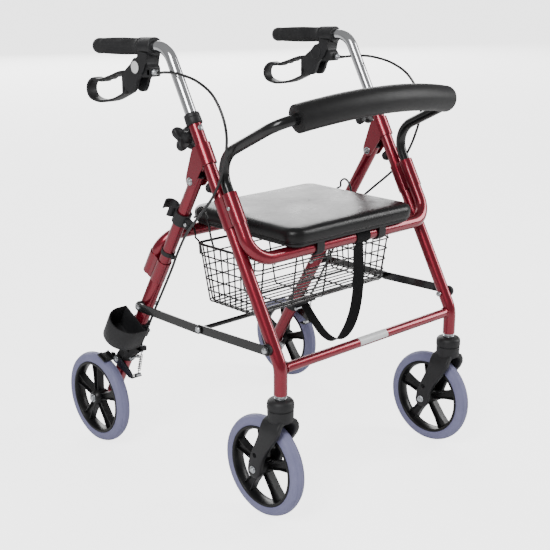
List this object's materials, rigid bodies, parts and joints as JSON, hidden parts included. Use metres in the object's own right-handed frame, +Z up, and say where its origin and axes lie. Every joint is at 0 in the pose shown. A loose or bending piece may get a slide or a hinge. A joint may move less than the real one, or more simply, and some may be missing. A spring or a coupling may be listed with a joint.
{
  "type": "rollator walker",
  "caption": "Folding four-wheeled rollator walker with loop hand brakes, padded seat, curved foam backrest, wire basket and cane holder.",
  "frame": {"origin": "on the floor below the middle of the whole walker; the frame's mid-plane is at x = +0.009 because the cane cup sticks out on the right side", "axes": "+Z up; the walker is pushed towards -Y, so the casters are at -Y and the grips point to +Y; the user's right side is -X"},
  "size_m": [0.631, 0.6934, 0.8776],
  "materials": {
    "frame_paint": "candy red paint, glossy",
    "chrome": "bright plated",
    "zinc_steel": "zinc plated",
    "black_steel": "gloss black powder coat",
    "black_plastic": "fine moulded grain",
    "grip_rubber": "ribbed soft rubber",
    "tyre_grey": "lilac grey, low sheen",
    "seat_vinyl": "padded grained vinyl",
    "foam": "closed-cell foam",
    "webbing": "woven strap"
  },
  "bodies": {
    "front_frame": {"front_seat_bar": "frame_paint", "front_cross_tube": "frame_paint", "backrest_tube": "black_steel", "backrest_foam": "foam", "lift_strap": "webbing", "front_leg_right": "frame_paint", "hinge_bracket_right": "frame_paint", "hinge_bolt_right": "zinc_steel", "post_collar_right": "black_plastic", "stem_nut_right": "zinc_steel", "brake_cable_right": "black_plastic", "front_leg_left": "frame_paint", "hinge_bracket_left": "frame_paint", "hinge_bolt_left": "zinc_steel", "post_collar_left": "black_plastic", "stem_nut_left": "zinc_steel", "brake_cable_left": "black_plastic"},
    "rear_frame": {"rear_seat_bar": "frame_paint", "cane_cup": "black_plastic", "cane_clip": "black_plastic", "rear_leg_right": "frame_paint", "rear_axle_right": "zinc_steel", "brake_bracket_right": "black_plastic", "rear_leg_left": "frame_paint", "rear_axle_left": "zinc_steel", "brake_bracket_left": "black_plastic"},
    "right_caster": {"caster_fork_right": "black_plastic", "front_axle_right": "zinc_steel"},
    "right_front_wheel": {"front_wheel_right": "black_plastic", "front_tyre_right": "tyre_grey"},
    "right_rear_wheel": {"rear_wheel_right": "black_plastic", "rear_tyre_right": "tyre_grey"},
    "right_handle": {"handle_post_right": "chrome", "hand_grip_right": "grip_rubber", "brake_housing_right": "black_plastic", "cable_adjuster_right": "zinc_steel"},
    "right_lever": {"brake_lever_right": "black_plastic"},
    "right_brake_shoe": {"brake_arm_right": "black_steel"},
    "right_knob": {"height_knob_right": "black_plastic"},
    "right_rear_link": {"rear_brace_link_right": "black_steel"},
    "right_button": {"backrest_button_right": "zinc_steel"},
    "left_caster": {"caster_fork_left": "black_plastic", "front_axle_left": "zinc_steel"},
    "left_front_wheel": {"front_wheel_left": "black_plastic", "front_tyre_left": "tyre_grey"},
    "left_rear_wheel": {"rear_wheel_left": "black_plastic", "rear_tyre_left": "tyre_grey"},
    "left_handle": {"handle_post_left": "chrome", "hand_grip_left": "grip_rubber", "brake_housing_left": "black_plastic", "cable_adjuster_left": "zinc_steel"},
    "left_lever": {"brake_lever_left": "black_plastic"},
    "left_brake_shoe": {"brake_arm_left": "black_steel"},
    "left_knob": {"height_knob_left": "black_plastic"},
    "left_rear_link": {"rear_brace_link_left": "black_steel"},
    "left_button": {"backrest_button_left": "zinc_steel"},
    "seat": {"seat_board": "black_plastic", "seat_cushion": "seat_vinyl"},
    "front_brace": {"front_brace": "black_steel"},
    "basket": {"basket": "black_steel"}
  },
  "joints": [
    {"name": "frame_fold", "type": "hinge", "parent": "front_frame", "child": "rear_frame", "pos_m": [0.00895, -0.06, 0.6197], "axis": [-1, 0, 0], "range_deg": [0, 30], "deforming": ["brake_cable_right", "brake_cable_left", "lift_strap"]},
    {"name": "front_brace_turn", "type": "hinge", "parent": "front_frame", "child": "front_brace", "pos_m": [0.00895, -0.272, 0.342], "axis": [1, 0, 0], "range_deg": [0, 44.6]},
    {"name": "basket_removal", "type": "slide", "parent": "front_frame", "child": "basket", "axis": [0, -1, 0], "range_m": [0, 0.451]},
    {"name": "seat_flip", "type": "hinge", "parent": "front_frame", "child": "seat", "pos_m": [0.00895, -0.2185, 0.493], "axis": [1, 0, 0], "range_deg": [0, 80]},
    {"name": "right_rear_link_turn", "type": "hinge", "parent": "rear_frame", "child": "right_rear_link", "pos_m": [-0.26305, 0.106, 0.336], "axis": [-1, 0, 0], "range_deg": [0, 36.2]},
    {"name": "right_caster_swivel", "type": "hinge", "parent": "front_frame", "child": "right_caster", "pos_m": [-0.23805, -0.29, 0.23], "axis": [0, 0, 1], "continuous": true},
    {"name": "right_front_wheel_spin", "type": "hinge", "parent": "right_caster", "child": "right_front_wheel", "pos_m": [-0.23775, -0.24665, 0.1], "axis": [1, 0, 0], "continuous": true},
    {"name": "right_rear_wheel_spin", "type": "hinge", "parent": "rear_frame", "child": "right_rear_wheel", "pos_m": [-0.27405, 0.24665, 0.1], "axis": [1, 0, 0], "continuous": true},
    {"name": "right_handle_height", "type": "slide", "parent": "front_frame", "child": "right_handle", "axis": [0, 0.4866, 0.8736], "range_m": [-0.0762, 0.0508]},
    {"name": "right_lever_squeeze", "type": "hinge", "parent": "right_handle", "child": "right_lever", "pos_m": [-0.23805, 0.0987, 0.8194], "axis": [1, 0, 0], "range_deg": [0, 14], "stiffness_Nm_per_rad": 4, "springref_deg": -5.73},
    {"name": "right_shoe_turn", "type": "hinge", "parent": "rear_frame", "child": "right_brake_shoe", "pos_m": [-0.25905, 0.198, 0.196], "axis": [-1, 0, 0], "range_deg": [0, 7]},
    {"name": "right_knob_turn", "type": "hinge", "parent": "front_frame", "child": "right_knob", "pos_m": [-0.23805, -0.0642, 0.715], "axis": [0, 0.8736, -0.4866], "continuous": true},
    {"name": "right_button_press", "type": "slide", "parent": "front_frame", "child": "right_button", "axis": [1, 0, 0], "range_m": [0, 0.005], "stiffness_N_per_m": 1200, "springref_m": -0.001},
    {"name": "left_rear_link_turn", "type": "hinge", "parent": "rear_frame", "child": "left_rear_link", "pos_m": [0.28095, 0.106, 0.336], "axis": [-1, 0, 0], "range_deg": [0, 36.2]},
    {"name": "left_caster_swivel", "type": "hinge", "parent": "front_frame", "child": "left_caster", "pos_m": [0.25595, -0.29, 0.23], "axis": [0, 0, 1], "continuous": true},
    {"name": "left_front_wheel_spin", "type": "hinge", "parent": "left_caster", "child": "left_front_wheel", "pos_m": [0.25565, -0.24665, 0.1], "axis": [1, 0, 0], "continuous": true},
    {"name": "left_rear_wheel_spin", "type": "hinge", "parent": "rear_frame", "child": "left_rear_wheel", "pos_m": [0.29195, 0.24665, 0.1], "axis": [1, 0, 0], "continuous": true},
    {"name": "left_handle_height", "type": "slide", "parent": "front_frame", "child": "left_handle", "axis": [0, 0.4866, 0.8736], "range_m": [-0.0762, 0.0508]},
    {"name": "left_lever_squeeze", "type": "hinge", "parent": "left_handle", "child": "left_lever", "pos_m": [0.25595, 0.0987, 0.8194], "axis": [1, 0, 0], "range_deg": [0, 14], "stiffness_Nm_per_rad": 4, "springref_deg": -5.73},
    {"name": "left_shoe_turn", "type": "hinge", "parent": "rear_frame", "child": "left_brake_shoe", "pos_m": [0.27695, 0.198, 0.196], "axis": [-1, 0, 0], "range_deg": [0, 7]},
    {"name": "left_knob_turn", "type": "hinge", "parent": "front_frame", "child": "left_knob", "pos_m": [0.25595, -0.0642, 0.715], "axis": [0, 0.8736, -0.4866], "continuous": true},
    {"name": "left_button_press", "type": "slide", "parent": "front_frame", "child": "left_button", "axis": [-1, 0, 0], "range_m": [0, 0.005], "stiffness_N_per_m": 1200, "springref_m": -0.001}
  ],
  "couplings": [
    {"joint": "front_brace_turn", "follows": "frame_fold", "ratio": 1.486},
    {"joint": "basket_removal", "follows": "frame_fold", "m_per_rad": 0.859},
    {"joint": "right_rear_link_turn", "follows": "frame_fold", "ratio": 1.206},
    {"joint": "right_shoe_turn", "follows": "right_lever_squeeze", "ratio": 0.5},
    {"joint": "left_rear_link_turn", "follows": "frame_fold", "ratio": 1.206},
    {"joint": "left_shoe_turn", "follows": "left_lever_squeeze", "ratio": 0.5}
  ]
}
